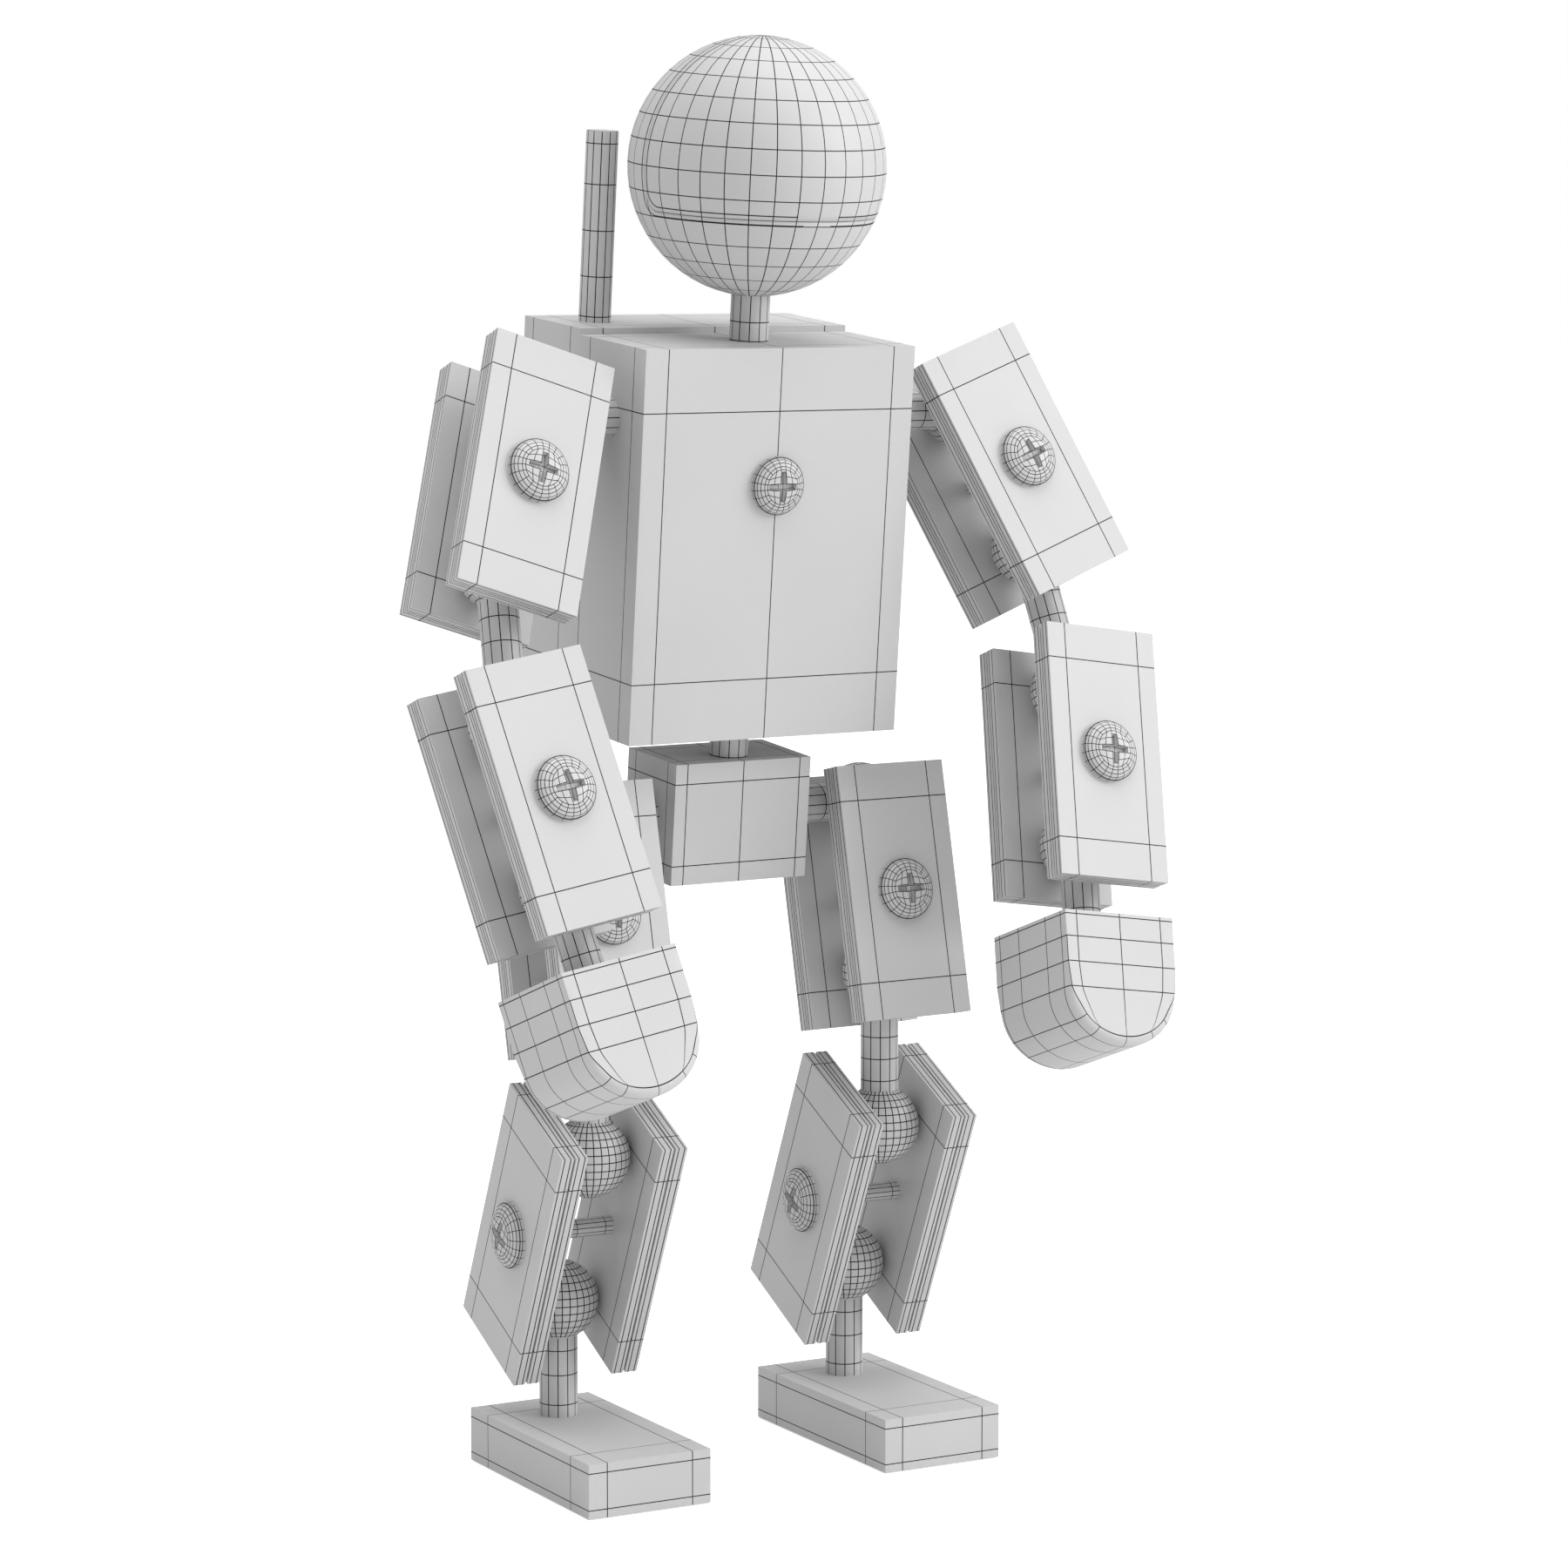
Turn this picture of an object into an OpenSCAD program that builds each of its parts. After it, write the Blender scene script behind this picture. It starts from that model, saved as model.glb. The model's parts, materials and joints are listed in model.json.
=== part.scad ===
// Walking armature robot: solid blocks for torso, pelvis, hands and feet, joined by
// double-plate links that clamp steel ball joints. Faces -Y, stands on Z = 0.

/* [Torso] */
// Width of the chest block, also the rear housing's
chest_w = 55.4; // [52:0.2:60]
// Depth of the chest block
chest_d = 23.8; // [23:0.2:26]
// Height of the chest block
chest_h = 70; // [69:0.5:74]
// Depth of the rear housing
rear_d = 20.8; // [18:0.2:24]
// Step from the chest's top up to the rear housing's
rear_rise = 1.1; // [0:0.1:3]
// Forward lean of the torso, degrees
torso_lean = 5.5; // [3:0.5:7]
// Width of the pelvis block
pelvis_w = 28.2; // [28:0.2:30]
// Depth of the pelvis block
pelvis_d = 17.4; // [17:0.2:19]
// Height of the pelvis block
pelvis_h = 22.2; // [21:0.2:24]
// Clear gap between chest and pelvis
waist_gap = 5.4; // [4.5:0.1:7]
// How far the pelvis sits behind the torso's axis
pelvis_back = 3.1; // [2:0.1:4]

/* [Head] */
// Diameter of the head
head_d = 46; // [42:1:48]
// Clear gap between chest and head
neck_gap = 7.9; // [7:0.1:10]
// Latitude of the face shell's lower edge, degrees
face_latitude = -20; // [-25:1:-15]
// Length of the antenna above the rear housing
antenna_h = 34.2; // [25:0.2:40]
// Diameter of the antenna
antenna_d = 5.8; // [5:0.1:6.5]

/* [Links] */
// Width of a link's plates
link_w = 22.8; // [22:0.2:24]
// Length of a link's plates
link_l = 46.8; // [46:0.2:48]
// Thickness of one slab, two to a plate
slab_t = 2.2; // [2.1:0.1:2.4]
// Groove between the two slabs of a plate
groove_w = 0.4; // [0.3:0.1:0.6]
// Diameter of a joint ball
ball_d = 13.9; // [13.7:0.1:14]
// Diameter of every round rod
rod_d = 7; // [6.4:0.2:7.2]
// Size of the shin links against the others
shin_scale = 1.06; // [1.04:0.01:1.08]
// Centre to centre of an elbow's two balls
elbow_l = 27.6; // [27.4:0.2:29]
// Centre to centre of a knee's two balls
knee_l = 28.8; // [28.6:0.2:30]

/* [Hands and feet] */
// Height of a hand
hand_h = 24; // [22:0.5:26]
// Width of a foot
foot_w = 24.2; // [22:0.2:25]
// Length of a foot
foot_l = 48; // [46:0.5:50]
// Height of a foot
foot_h = 9.8; // [9:0.2:11]
// Height of the ankle balls above the ground
ankle_z = 31.1; // [30:0.1:33]

/* [Stance] */
// Forward swing of both arms from the vertical, degrees
arm_swing = 19.6; // [18:0.2:22]
// Outward slant of the upper arms, degrees
arm_spread = 19.8; // [18:0.2:22]
// Outward slant of the elbow rods, degrees
elbow_slant = 5.4; // [4:0.2:7]
// Inward slant of the forearms, degrees
forearm_slant = 8.7; // [7:0.1:10]
// Forward swing of both thighs, degrees
thigh_swing = 12.6; // [11:0.2:14]
// Backward slant of both shins, degrees
shin_slant = 25.2; // [23:0.2:27]
// Turn of the shins about the vertical, degrees
shin_yaw = -3.4; // [-5:0.2:-2]
// Turn of the feet about the vertical, degrees
foot_yaw = -2.2; // [-4:0.2:-1]

/* [Hidden] */
$fn = 64;
SIDES = [-1, 1];
PARTS_PER_ARM = ["shoulder_rod", "elbow_rod", "wrist_rod", "hand"];
PARTS_PER_LEG = ["hip_rod", "knee_rod", "ankle_rod", "foot"];
LINKS = ["upper_arm", "forearm", "thigh", "shin"];
PARTS_PER_LINK = ["outer_slabs", "inner_slabs", "clamp_screw", "clamp_nut"];
TORSO_NODES = ["chest_block", "rear_housing", "antenna", "chest_screw", "rod_set_screws", "face_shell",
    "skull_shell", "neck_rod", "pelvis_block", "waist_rod", "hip_set_screws", "chest_insert"];
function part_name(s, part) = str(s < 0 ? "right_" : "left_", part);

// Colours
shell_grey = [0.84, 0.84, 0.84];
rod_grey = [0.78, 0.78, 0.78];
screw_grey = [0.70, 0.70, 0.71];
brass = [0.72, 0.58, 0.32];

// Fits and hardware
running = 0.05;
screw_shank_d = 3.2;
screw_hole_d = 3.6;
link_head_d = 11.2;
chest_head_d = 10.4;
head_dome_h = 2.2;
head_rim_h = 0.4;
cross_l = 5.4;
cross_w = 1.3;
cross_depth = 1.6;
nut_across_flats = 5.6;
nut_t = 1.6;
nut_corner_d = nut_across_flats / cos(30);
set_screw_d = 3;
groove_floor_d = 5.4;
rod_groove_w = 3.3;
edge_r = 0.8;

// Link layout: a plate is outer slab, groove and inner slab; the balls nest in the inner slabs
nest_depth = 0.1;
link_gap = ball_d - 2 * nest_depth;
plate_t = 2 * slab_t + groove_w;
link_t = link_gap + 2 * plate_t;
land_inset = 1.6;
ball_offset = 14.6;
shoulder_ball_offset = 13.8;
hip_ball_offset = 18;
knee_ball_offset = 14;
shin_ball_offset = 15.8;

// Bore depths and rod ends
shoulder_depth = 12;
hip_depth = 9.2;
neck_depth = 11;
waist_depth_chest = 12;
waist_depth_pelvis = 6.4;
rod_end_gap = 0.4;
hand_bore = 9;
foot_bore = 7;
hand_w = link_w;
hand_d = 24;
hand_corner_r = 9.8;
hand_drop = 30 - ball_offset;
foot_back = 12.1;

// Heights and places of the blocks, worked out from the ground up
hip_up = 0.4;
shoulder_x = 45.8;
shoulder_z = 21.8;
hip_x = 30.8;
hip_z = ankle_z + 2 * shin_ball_offset * cos(shin_slant) + knee_l
    + (hip_ball_offset + knee_ball_offset) * cos(thigh_swing);
chest_to_pelvis = (chest_h + pelvis_h) / 2 + waist_gap;
pelvis_z = hip_z - hip_up * cos(torso_lean);
chest_z = pelvis_z + chest_to_pelvis * cos(torso_lean) - pelvis_back * sin(torso_lean);
head_up = chest_h / 2 + neck_gap + head_d / 2;
// Puts the origin midway between the front of the hands and the back of the rear housing
stance_y = 9.26;

// Rear housing and chest interior
wall = 2.4;
chest_pocket_w = 42;
chest_pocket_low = -22;
chest_pocket_top = 13;
chest_screw_up = 10.6;
boss_d = 9;
insert_d = 4.6;
insert_l = 6;
antenna_x = -19.1;
antenna_root = 8;

// Head shells
shell_t = 2.2;
seam = 0.2;
lip_t = 1.2;
lip_clear = 0.1;
lip_overlap = 2.2;
seam_corner_r = 2.5;
neck_boss_d = 13;
neck_boss_l = 12.5;
neck_socket = 11;

// ---- frames ----
module torso_frame() {
    translate([0, stance_y, chest_z]) rotate([torso_lean, 0, 0]) children();
}

module pelvis_frame() {
    torso_frame() translate([0, pelvis_back, -chest_to_pelvis]) children();
}

module shoulder_frame(s) {
    torso_frame() translate([s * shoulder_x, 0, shoulder_z]) children();
}

// Arms hang from the shoulder ball; the frame below has the world's X and a forward swing
module upper_arm_frame(s) {
    torso_frame() translate([s * shoulder_x, 0, shoulder_z])
        rotate([-arm_swing - torso_lean, 0, 0]) rotate([0, -s * arm_spread, 0])
        translate([0, 0, -shoulder_ball_offset]) children();
}

module elbow_frame(s) {
    upper_arm_frame(s) translate([0, 0, -ball_offset])
        rotate([0, s * (arm_spread - elbow_slant), 0]) children();
}

module forearm_frame(s) {
    elbow_frame(s) translate([0, 0, -elbow_l]) rotate([0, s * (elbow_slant + forearm_slant), 0])
        translate([0, 0, -ball_offset]) children();
}

module hand_frame(s) {
    forearm_frame(s) translate([0, 0, -ball_offset]) children();
}

module hip_frame(s) {
    pelvis_frame() translate([s * hip_x, 0, hip_up]) children();
}

module thigh_frame(s) {
    hip_frame(s) rotate([-thigh_swing - torso_lean, 0, 0]) translate([0, 0, -hip_ball_offset]) children();
}

// The knee rod stands upright whatever the thigh's swing
module knee_frame(s) {
    thigh_frame(s) translate([0, 0, -knee_ball_offset]) rotate([thigh_swing, 0, 0]) children();
}

// A shin's plates are turned a quarter turn, so their screws show from the robot's right
module shin_frame(s) {
    knee_frame(s) translate([0, 0, -knee_l]) rotate([0, 0, shin_yaw]) rotate([shin_slant, 0, 0])
        rotate([0, 0, -90]) translate([0, 0, -shin_ball_offset]) children();
}

module ankle_frame(s) {
    shin_frame(s) translate([0, 0, -shin_ball_offset]) rotate([0, 0, 90]) rotate([-shin_slant, 0, 0])
        rotate([0, 0, foot_yaw - shin_yaw]) children();
}

module link_frame(s, link) {
    if (link == "upper_arm") upper_arm_frame(s) children();
    if (link == "forearm") forearm_frame(s) children();
    if (link == "thigh") thigh_frame(s) children();
    if (link == "shin") shin_frame(s) scale(shin_scale) children();
}

// Heights of a link's two ball centres in its own frame
function ball_heights(link) =
    link == "upper_arm" ? [-ball_offset, shoulder_ball_offset]
    : link == "thigh" ? [-knee_ball_offset, hip_ball_offset]
    : link == "shin" ? [-shin_ball_offset / shin_scale, shin_ball_offset / shin_scale]
    : [-ball_offset, ball_offset];

// ---- shared shapes ----
// Block centred on the origin with its twelve edges rounded
module soft_block(size, r) {
    intersection() {
        linear_extrude(size[2], center = true) soft_square(size[0], size[1], r);
        rotate([90, 0, 0]) linear_extrude(size[1], center = true) soft_square(size[0], size[2], r);
        rotate([90, 0, 90]) linear_extrude(size[0], center = true) soft_square(size[1], size[2], r);
    }
}

module soft_square(w, h, r) {
    square([w, h - 2 * r], center = true);
    square([w - 2 * r, h], center = true);
    for (x = SIDES, y = SIDES) translate([x * (w / 2 - r), y * (h / 2 - r)]) circle(r);
}

// Domed cross-recess screw along +Z: head on top of Z = 0, shank below
module dome_screw(head_d, shank_l) {
    dome_r = (head_d * head_d / 4 + head_dome_h * head_dome_h) / (2 * head_dome_h);
    top = head_rim_h + head_dome_h;
    difference() {
        intersection() {
            cylinder(d = head_d, h = 2 * top);
            translate([0, 0, top - dome_r]) sphere(dome_r, $fn = 128);
        }
        for (a = [0, 90]) rotate([0, 0, a]) translate([-cross_l / 2, -cross_w / 2, top - cross_depth])
            cube([cross_l, cross_w, 2 * cross_depth]);
    }
    translate([0, 0, -shank_l]) cylinder(d = screw_shank_d, h = shank_l);
}

module hex_nut() {
    difference() {
        cylinder(d = nut_corner_d, h = nut_t, $fn = 6);
        translate([0, 0, -1]) cylinder(d = screw_shank_d, h = nut_t + 2);
    }
}

// Rod along Z from z0 to z1 with a locking groove centred at groove_z
module grooved_rod(z0, z1, groove_z) {
    difference() {
        translate([0, 0, z0]) cylinder(d = rod_d, h = z1 - z0);
        translate([0, 0, groove_z - rod_groove_w / 2]) difference() {
            cylinder(d = rod_d + 2, h = rod_groove_w);
            translate([0, 0, -1]) cylinder(d = groove_floor_d, h = rod_groove_w + 2);
        }
    }
}

// Set screw along -Y from a block's back face down to a rod's groove
module set_screw(back_y) {
    tip_y = groove_floor_d / 2 + running;
    translate([0, tip_y, 0]) rotate([-90, 0, 0]) difference() {
        cylinder(d = set_screw_d, h = back_y - tip_y - rod_end_gap);
        translate([0, 0, back_y - tip_y - 1.6]) cylinder(d = 1.7, h = 4, $fn = 6);
    }
}

module set_screw_hole(back_y) {
    rotate([-90, 0, 0]) cylinder(d = set_screw_d, h = back_y + 1);
}

// ---- links ----
// One slab of a link, its inner face at Y = y0
module slab(y0) {
    translate([-link_w / 2, y0, -link_l / 2]) cube([link_w, slab_t, link_l]);
}

module screw_bore(d) {
    rotate([90, 0, 0]) cylinder(d = d, h = 2 * link_t, center = true);
}

// The two outer slabs; the rear one hides the nut in a hex pocket
module outer_slabs() {
    difference() {
        union() {
            slab(link_t / 2 - slab_t);
            slab(-link_t / 2);
        }
        screw_bore(screw_hole_d);
        translate([0, link_t / 2 - nut_t, 0]) rotate([-90, 0, 0])
            cylinder(d = nut_corner_d, h = slab_t + 1, $fn = 6);
    }
}

// The two inner slabs, each with a raised land towards its outer slab and two ball seats
module inner_slabs(link) {
    difference() {
        for (s = SIDES) {
            slab(s > 0 ? link_gap / 2 : -link_gap / 2 - slab_t);
            translate([0, s * (link_gap / 2 + slab_t + groove_w / 2), 0])
                cube([link_w - 2 * land_inset, groove_w, link_l - 2 * land_inset], center = true);
        }
        screw_bore(screw_hole_d);
        for (z = ball_heights(link)) translate([0, 0, z]) sphere(d = ball_d + 2 * running);
    }
}

module clamp_screw() {
    translate([0, -link_t / 2, 0]) rotate([90, 0, 0]) dome_screw(link_head_d, link_t);
}

module clamp_nut() {
    translate([0, link_t / 2 - nut_t, 0]) rotate([-90, 0, 0]) hex_nut();
}

module link_part(s, link, part) {
    link_frame(s, link) {
        if (part == "outer_slabs") color(shell_grey) outer_slabs();
        if (part == "inner_slabs") color(shell_grey) inner_slabs(link);
        if (part == "clamp_screw") color(screw_grey) clamp_screw();
        if (part == "clamp_nut") color(screw_grey) clamp_nut();
    }
}

// ---- rods and balls ----
// Two balls on one rod, the upper one at the origin
module dumbbell(l, low_ball_d) {
    sphere(d = ball_d);
    translate([0, 0, -l]) {
        cylinder(d = rod_d, h = l);
        sphere(d = low_ball_d);
    }
}

// A ball at the origin and a rod from it along +Z with its locking groove
module side_rod(reach, groove_at) {
    sphere(d = ball_d);
    grooved_rod(0, reach, groove_at);
}

module shoulder_rod(s) {
    side_x = shoulder_x - chest_w / 2;
    shoulder_frame(s) rotate([0, -s * 90, 0]) color(rod_grey)
        side_rod(side_x + shoulder_depth - rod_end_gap, side_x + shoulder_depth / 2);
}

module hip_rod(s) {
    side_x = hip_x - pelvis_w / 2;
    hip_frame(s) rotate([0, -s * 90, 0]) color(rod_grey)
        side_rod(side_x + hip_depth - rod_end_gap, side_x + hip_depth / 2);
}

module elbow_rod(s) {
    elbow_frame(s) color(rod_grey) dumbbell(elbow_l, ball_d);
}

module knee_rod(s) {
    knee_frame(s) color(rod_grey) dumbbell(knee_l, ball_d * shin_scale);
}

// A ball at the origin and a plain rod hanging from it
module hanging_rod(l, d) {
    sphere(d = d);
    translate([0, 0, -l]) cylinder(d = rod_d, h = l);
}

module wrist_rod(s) {
    hand_frame(s) color(rod_grey) hanging_rod(hand_drop + hand_bore, ball_d);
}

module ankle_rod(s) {
    ankle_frame(s) color(rod_grey) hanging_rod(ankle_z - foot_h + foot_bore, ball_d * shin_scale);
}

// ---- hands and feet ----
// Mitten block with a flat top and a rounded lower end
module hand(s) {
    half_flat = hand_w / 2 - hand_corner_r;
    hand_frame(s) translate([0, 0, -hand_drop]) color(shell_grey) difference() {
        intersection() {
            rotate([90, 0, 0]) linear_extrude(hand_d, center = true) {
                translate([-hand_w / 2, -hand_h + hand_corner_r]) square([hand_w, hand_h - hand_corner_r]);
                translate([-half_flat, -hand_h]) square([2 * half_flat, hand_h]);
                for (x = SIDES) translate([x * half_flat, -hand_h + hand_corner_r]) circle(hand_corner_r);
            }
            translate([0, 0, -hand_h / 2]) rotate([90, 0, 90]) linear_extrude(hand_w + 2, center = true)
                soft_square(hand_d, hand_h, edge_r);
        }
        translate([0, 0, -hand_bore]) cylinder(d = rod_d, h = hand_bore + 1);
    }
}

module foot(s) {
    ankle_frame(s) translate([0, -foot_back, foot_h / 2 - ankle_z]) color(shell_grey) difference() {
        soft_block([foot_w, foot_l, foot_h], edge_r);
        translate([0, foot_back, foot_h / 2 - foot_bore]) cylinder(d = rod_d, h = foot_bore + 1);
    }
}

// ---- torso ----
module chest_block() {
    torso_frame() color(shell_grey) difference() {
        soft_block([chest_w, chest_d, chest_h], edge_r);
        difference() {
            translate([-chest_pocket_w / 2, wall - chest_d / 2, chest_pocket_low])
                cube([chest_pocket_w, chest_d, chest_pocket_top - chest_pocket_low]);
            translate([0, chest_d / 2, chest_screw_up]) rotate([90, 0, 0]) cylinder(d = boss_d, h = chest_d);
        }
        translate([0, 0, chest_screw_up]) rotate([90, 0, 0])
            cylinder(d = screw_hole_d, h = 2 * chest_d, center = true);
        translate([0, 0, chest_h / 2 - neck_depth]) cylinder(d = rod_d + 2 * running, h = neck_depth + 1);
        translate([0, 0, chest_h / 2 - neck_depth / 2]) set_screw_hole(chest_d / 2);
        translate([0, 0, -chest_h / 2 - 1]) cylinder(d = rod_d + 2 * running, h = waist_depth_chest + 1);
        translate([0, 0, waist_depth_chest / 2 - chest_h / 2]) set_screw_hole(chest_d / 2);
        for (s = SIDES) {
            translate([s * (chest_w / 2 - shoulder_depth), 0, shoulder_z]) rotate([0, s * 90, 0])
                cylinder(d = rod_d + 2 * running, h = shoulder_depth + 1);
            translate([s * (chest_w - shoulder_depth) / 2, 0, shoulder_z]) set_screw_hole(chest_d / 2);
        }
    }
}

module rod_set_screws() {
    torso_frame() color(screw_grey) {
        translate([0, 0, chest_h / 2 - neck_depth / 2]) set_screw(chest_d / 2);
        translate([0, 0, waist_depth_chest / 2 - chest_h / 2]) set_screw(chest_d / 2);
        for (s = SIDES) translate([s * (chest_w - shoulder_depth) / 2, 0, shoulder_z]) set_screw(chest_d / 2);
    }
}

// Hollow box that closes the chest from behind, with a boss for the chest screw's insert
module rear_housing() {
    h = chest_h + rear_rise;
    torso_frame() translate([0, (chest_d + rear_d) / 2, rear_rise / 2]) color(shell_grey) difference() {
        union() {
            difference() {
                soft_block([chest_w, rear_d, h], edge_r);
                translate([-chest_w / 2 + wall, -rear_d / 2 - 1, -h / 2 + wall])
                    cube([chest_w - 2 * wall, rear_d - wall + 1, h - 2 * wall]);
            }
            translate([0, rear_d / 2 - wall / 2, chest_screw_up - rear_rise / 2]) rotate([90, 0, 0])
                cylinder(d = boss_d, h = rear_d - wall / 2);
            translate([antenna_x, 0, h / 2 - antenna_root - wall / 2])
                cylinder(d = boss_d + 1, h = antenna_root);
        }
        translate([0, -rear_d / 2 - 1, chest_screw_up - rear_rise / 2]) rotate([-90, 0, 0])
            cylinder(d = insert_d, h = insert_l + 1);
        translate([0, -rear_d / 2 - 1, chest_screw_up - rear_rise / 2]) rotate([-90, 0, 0])
            cylinder(d = screw_hole_d, h = insert_l + 5);
        translate([antenna_x, 0, h / 2 - antenna_root]) cylinder(d = antenna_d, h = antenna_root + 1);
    }
}

module chest_insert() {
    torso_frame() translate([0, chest_d / 2, chest_screw_up]) rotate([-90, 0, 0]) color(brass) difference() {
        cylinder(d = insert_d, h = insert_l);
        translate([0, 0, -1]) cylinder(d = screw_shank_d, h = insert_l + 2);
    }
}

module chest_screw() {
    torso_frame() translate([0, -chest_d / 2, chest_screw_up]) rotate([90, 0, 0])
        color(screw_grey) dome_screw(chest_head_d, chest_d + insert_l);
}

module antenna() {
    torso_frame() translate([antenna_x, (chest_d + rear_d) / 2, chest_h / 2 + rear_rise - antenna_root])
        color(shell_grey) cylinder(d = antenna_d, h = antenna_root + antenna_h);
}

// ---- head ----
// Side view of the face shell's share of the ball: in front of Y = 0 and above the lower edge,
// with the corner between the two rounded; grow moves its boundary outwards
module face_outline(grow) {
    r = head_d / 2;
    low = r * sin(face_latitude) - grow;
    cr = seam_corner_r;
    translate([-2 * r, low + cr]) square([2 * r + grow, 2 * r]);
    translate([-2 * r, low]) square([2 * r + grow - cr, 2 * r]);
    translate([grow - cr, low + cr]) circle(cr);
}

module face_prism(grow) {
    rotate([90, 0, 90]) linear_extrude(head_d + 2, center = true) face_outline(grow);
}

module ball_shell(outer_d, t) {
    difference() {
        sphere(d = outer_d);
        sphere(d = outer_d - 2 * t);
    }
}

// The face shell, with a lip that slides inside the skull shell behind the seam
module face_shell() {
    lip_d = head_d - 2 * shell_t - 2 * lip_clear;
    torso_frame() translate([0, 0, head_up]) color(shell_grey) {
        intersection() {
            ball_shell(head_d, shell_t);
            face_prism(-seam / 2);
        }
        intersection() {
            ball_shell(head_d - shell_t, shell_t / 2 + lip_clear + lip_t);
            face_ring(-lip_overlap, -seam / 2);
        }
        intersection() {
            ball_shell(lip_d, lip_t);
            face_ring(-lip_overlap, lip_overlap);
        }
    }
}

module face_ring(from, to) {
    difference() {
        face_prism(to);
        face_prism(from);
    }
}

// The rest of the ball, with the socket that the neck rod is pressed into
module skull_shell() {
    torso_frame() translate([0, 0, head_up]) color(shell_grey) difference() {
        union() {
            difference() {
                ball_shell(head_d, shell_t);
                face_prism(seam / 2);
            }
            intersection() {
                translate([0, 0, -head_d / 2]) cylinder(d = neck_boss_d, h = neck_boss_l);
                sphere(d = head_d - shell_t);
            }
        }
        translate([0, 0, -head_d]) cylinder(d = rod_d, h = head_d / 2 + neck_socket);
    }
}

module neck_rod() {
    low = chest_h / 2 - neck_depth + rod_end_gap;
    top = head_up - head_d / 2 + neck_socket;
    torso_frame() color(rod_grey) grooved_rod(low, top, chest_h / 2 - neck_depth / 2);
}

// ---- pelvis ----
module pelvis_block() {
    pelvis_frame() color(shell_grey) difference() {
        soft_block([pelvis_w, pelvis_d, pelvis_h], edge_r);
        translate([0, -pelvis_back, pelvis_h / 2 - waist_depth_pelvis])
            cylinder(d = rod_d, h = waist_depth_pelvis + 1);
        for (s = SIDES) {
            translate([s * (pelvis_w / 2 - hip_depth), 0, hip_up]) rotate([0, s * 90, 0])
                cylinder(d = rod_d + 2 * running, h = hip_depth + 1);
            translate([s * (pelvis_w - hip_depth) / 2, 0, hip_up]) set_screw_hole(pelvis_d / 2);
        }
    }
}

module hip_set_screws() {
    pelvis_frame() color(screw_grey)
        for (s = SIDES) translate([s * (pelvis_w - hip_depth) / 2, 0, hip_up]) set_screw(pelvis_d / 2);
}

module waist_rod() {
    top = waist_depth_chest - rod_end_gap - chest_h / 2;
    torso_frame() color(rod_grey)
        grooved_rod(-chest_h / 2 - waist_gap - waist_depth_pelvis, top, waist_depth_chest / 2 - chest_h / 2);
}

chest_block();
rear_housing();
antenna();
chest_screw();
chest_insert();
rod_set_screws();
face_shell();
skull_shell();
neck_rod();
pelvis_block();
waist_rod();
hip_set_screws();
for (s = SIDES) {
    shoulder_rod(s);
    elbow_rod(s);
    wrist_rod(s);
    hand(s);
    hip_rod(s);
    knee_rod(s);
    ankle_rod(s);
    foot(s);
    for (link = LINKS, part = PARTS_PER_LINK)
        link_part(s, link, part);
}
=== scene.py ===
"""Looks of the jointed walking robot: lined grey blocks, plates, ball rods and screws; floor, light, camera."""
import json
import math

import bmesh
import bpy
from mathutils import Matrix, Vector


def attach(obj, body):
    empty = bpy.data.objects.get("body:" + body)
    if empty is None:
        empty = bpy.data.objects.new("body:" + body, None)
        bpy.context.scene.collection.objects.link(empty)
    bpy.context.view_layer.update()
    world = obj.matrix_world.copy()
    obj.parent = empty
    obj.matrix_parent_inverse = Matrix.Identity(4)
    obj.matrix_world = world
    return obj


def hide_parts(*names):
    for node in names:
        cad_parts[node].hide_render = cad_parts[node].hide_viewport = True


MM = 0.001
# Every size below is in millimetres and every angle in degrees.
# Drawn lines and rounded edges
LINE_W = 0.19
SCREW_LINE_W = 0.13
RECESS_LINE_W = 0.1
BLOCK_EDGE_R = 0.35
SLAB_EDGE_R = 0.32
HAND_EDGE_R = 0.4
EDGE_STEPS = 3
SHARP_ANGLE = 50
# Where lines cross a box, as fractions of its size on each axis
TORSO_LINES = ((0.083, 0.5, 0.92), (0.17, 0.84), (0.155, 0.84))
PELVIS_LINES = ((0.086, 0.5, 0.92), (0.17, 0.84), (0.16, 0.835))
SLAB_LINES = ((0.16, 0.84), (0.25, 0.75), (0.145, 0.86))
FOOT_LINES = ((0.15, 0.85), (0.15, 0.85), (0.155, 0.83))
# Links, drawn at one length and scaled to the length of each CAD link
LINK_HALF_L = 23.4
SLAB_T = 2.2
GROOVE_W = 0.4
LAND_INSET = 1.6
LAND_OVERLAP = 0.05
NUT_T = 1.6
NUT_CORNER_R = 2.8 / math.cos(math.radians(30))
# Screws
SCREW_HEAD_R = 5.6
SCREW_HEAD_H = 2.6
SCREW_RIM_H = 1.0
SCREW_SHANK_R = 1.6
CHEST_SCREW_L = 29.8
SET_SCREW_R = 1.5
SET_SCREW_FACE = 2.75
CROSS_HALF_L = 2.7
CROSS_ROOT = 0.52
CROSS_TIP = 0.38
CROSS_DEPTH = 1.15
# Balls and rods; ring lines are given as heights measured from the ball's centre
BALL_R = 6.95
SHIN_BALL_R = BALL_R * 1.06
ROD_R = 3.5
COLLAR = 0.35
ROD_RINGS = {"shoulder": (-9.5, -14.0), "hip": (-9.5, -14.0), "elbow": (-9.3, -13.7, -18.1),
             "knee": (-8.6, -12.0, -16.1, -20.2), "wrist": (-12.4, -15.1), "ankle": (-9.0, -13.5, -19.0)}
BALL_COLUMNS = 96
BALL_LATITUDES = 16
BALL_SPOKES = 32
ROD_COLUMNS = 48
ROD_SPOKES = 12
ANTENNA_SOCKET = 8
ANTENNA_CHAMFER = 0.15
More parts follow.
